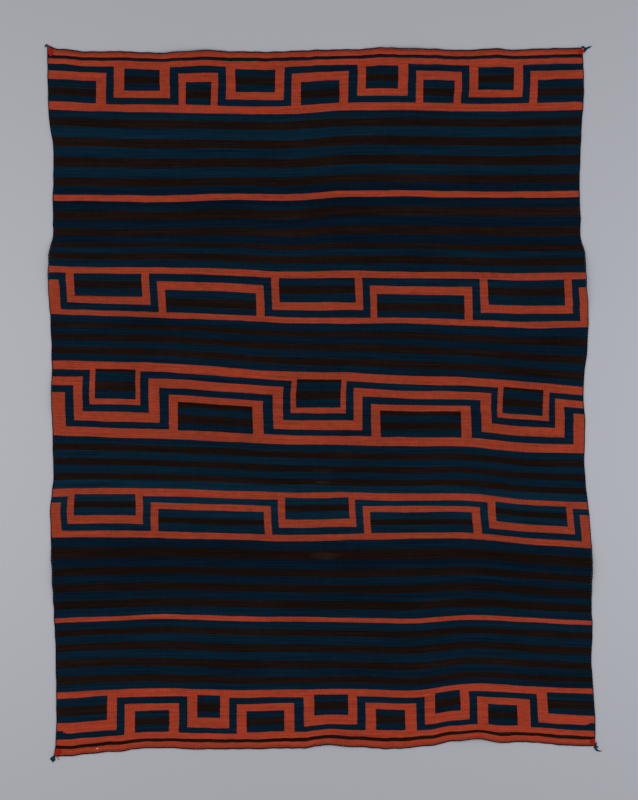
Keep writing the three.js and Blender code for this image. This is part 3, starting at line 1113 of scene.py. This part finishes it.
class SERAPE_OT_corner_bindings(bpy.types.Operator):
    """Wind the red binding over the face of each corner."""

    bl_idname = "serape.corner_bindings"
    bl_label = "Corner bindings"

    def execute(self, context):
        colours = context.scene.serape_colours
        pale = tuple(min(1.0, c * 1.5) for c in colours.red)
        look = twisted_yarn("red_binding_yarn", colours.red, pale, 1.1)
        for node, beads in BEADS.items():
            bm = bmesh.new()
            for start, stop, half_wide, high in beads:
                bead_of_turns(bm, start, stop, half_wide, high)
            if node == "bottom_left_wrap":
                yarn_along(
                    bm, [(on_floor(x, y, z), wide / 2) for x, y, z, wide in LOOSE_THREAD]
                )
            bmesh.ops.recalc_face_normals(bm, faces=bm.faces)
            binding = new_piece(node.replace("wrap", "wound_binding"), bm, look)
            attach(binding, "root")
            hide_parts(node)
            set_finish(binding, "binding")
        return {"FINISHED"}


class SERAPE_OT_corner_tassels(bpy.types.Operator):
    """Lay the frayed cord ends on the floor past each corner."""

    bl_idname = "serape.corner_tassels"
    bl_label = "Corner tassels"

    def execute(self, context):
        colours = context.scene.serape_colours
        pale = tuple(min(1.0, c * 2.2) for c in colours.tassel)
        look = twisted_yarn("frayed_cord_yarn", colours.tassel, pale, 0.4)
        for node, locks in TASSELS.items():
            bm = bmesh.new()
            for number, lock in enumerate(locks):
                knots = [0.0]
                for (x0, y0, _), (x1, y1, _) in zip(lock, lock[1:]):
                    knots.append(knots[-1] + math.hypot(x1 - x0, y1 - y0))
                for yarn in range(YARNS_A_LOCK):
                    lane = (yarn + 0.5) / YARNS_A_LOCK * 2 - 1
                    stations = []
                    for i in range(YARN_STEPS + 1):
                        s = knots[-1] * i / YARN_STEPS
                        x, y, wide = (
                            through(knots, [point[axis] for point in lock], s) for axis in range(3)
                        )
                        drift = 0.5 * noise.noise((s / 4, lane * 3, number * 5))
                        ahead = min(s + 0.5, knots[-1])
                        back = max(s - 0.5, 0)
                        run = Vector(
                            [
                                through(knots, [point[axis] for point in lock], ahead)
                                - through(knots, [point[axis] for point in lock], back)
                                for axis in range(2)
                            ]
                        ).normalized()
                        off = (lane * 0.36 + drift * 0.25) * wide
                        radius = max(wide * 0.2, 0.25)
                        rise = radius + 0.25 * wide * (1 - abs(lane)) * (0.6 + drift)
                        stations.append((on_floor(x - run.y * off, y + run.x * off, rise), radius))
                    yarn_along(bm, stations, sides=5)
            bmesh.ops.recalc_face_normals(bm, faces=bm.faces)
            tassel = new_piece(node.replace("tassel", "frayed_tassel"), bm, look)
            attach(tassel, "root")
            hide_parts(node)
            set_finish(tassel, "tassel")
        return {"FINISHED"}


def soft_light(name, place, aim, long, power, colour):
    """A broad diffused lamp turned towards a point."""
    lamp = bpy.data.lights.new(name, "AREA")
    lamp.shape = "RECTANGLE"
    lamp.size, lamp.size_y = 0.9, long
    lamp.energy = power
    lamp.color = colour
    light = bpy.data.objects.new(name, lamp)
    light.location = place
    light.rotation_euler = (Vector(aim) - Vector(place)).to_track_quat("-Z", "Y").to_euler()
    bpy.context.scene.collection.objects.link(light)


class SERAPE_OT_stage(bpy.types.Operator):
    """Lay a plain pale floor, and set soft light and the camera straight above."""

    bl_idname = "serape.stage"
    bl_label = "Floor, light and camera"

    def execute(self, context):
        scene = context.scene
        look = Look("pale_paper_floor")
        place = look.node("ShaderNodeTexCoord", output=3)
        x, y, _ = look.parts(place)
        grain = look.noise(look.point(x * 900, y * 900), detail=2.0)
        drift = look.noise(look.point(x * 0.8, y * 0.8), detail=1.0)
        tone = 0.97 + grain * 0.03 + drift * 0.03
        look.finish(look.shade((0.435, 0.439, 0.473), tone), 0.95, grain, 0.05, 0.0)
        bm = bmesh.new()
        bmesh.ops.create_grid(bm, x_segments=8, y_segments=8, size=6)
        floor = new_piece("floor", bm, look.material)

        soft_light("left_softbox", (-1.75, -0.08, 1.3), (0, 0, 0), 1.9, 13.6, (1, 0.985, 0.975))
        soft_light("right_softbox", (1.75, -0.08, 1.3), (0, 0, 0), 1.9, 13.2, (0.98, 1, 1.02))
        world = bpy.data.worlds.new("studio_room")
        world.use_nodes = True
        room = world.node_tree.nodes["Background"].inputs
        room["Color"].default_value = (0.97, 0.98, 1.0, 1.0)
        room["Strength"].default_value = 0.64
        scene.world = world

        lens = bpy.data.cameras.new("camera_above")
        lens.lens, lens.sensor_width = 85, 36
        lens.clip_end = 50
        camera = bpy.data.objects.new("camera_above", lens)
        camera.location = (-0.0108, 0.0086, 4.7814)
        scene.collection.objects.link(camera)
        scene.camera = camera
        scene.view_settings.view_transform = "Standard"
        return {"FINISHED"}


class SERAPE_PT_panel(bpy.types.Panel):
    """Sizes, dyes and pieces of the serape."""

    bl_idname = "SERAPE_PT_panel"
    bl_label = "Serape"
    bl_space_type = "VIEW_3D"
    bl_region_type = "UI"
    bl_category = "Serape"

    def draw(self, context):
        for group in (context.scene.serape_sizes, context.scene.serape_colours):
            box = self.layout.box()
            for name in group.bl_rna.properties.keys():
                if name not in ("rna_type", "name"):
                    box.prop(group, name)
        for operator in OPERATORS:
            self.layout.operator(operator.bl_idname)


OPERATORS = (
    SERAPE_OT_stage,
    SERAPE_OT_edge_cords,
    SERAPE_OT_corner_bindings,
    SERAPE_OT_corner_tassels,
    SERAPE_OT_web,
)
CLASSES = (SerapeSizes, SerapeColours, *OPERATORS, SERAPE_PT_panel)


def register():
    for item in CLASSES:
        bpy.utils.register_class(item)
    bpy.types.Scene.serape_sizes = bpy.props.PointerProperty(type=SerapeSizes)
    bpy.types.Scene.serape_colours = bpy.props.PointerProperty(type=SerapeColours)


def unregister():
    del bpy.types.Scene.serape_colours
    del bpy.types.Scene.serape_sizes
    for item in reversed(CLASSES):
        bpy.utils.unregister_class(item)


def main():
    register()
    bpy.ops.serape.stage()
    bpy.ops.serape.edge_cords()
    bpy.ops.serape.corner_bindings()
    bpy.ops.serape.corner_tassels()
    bpy.ops.serape.web()


if __name__ == "__main__":
    main()
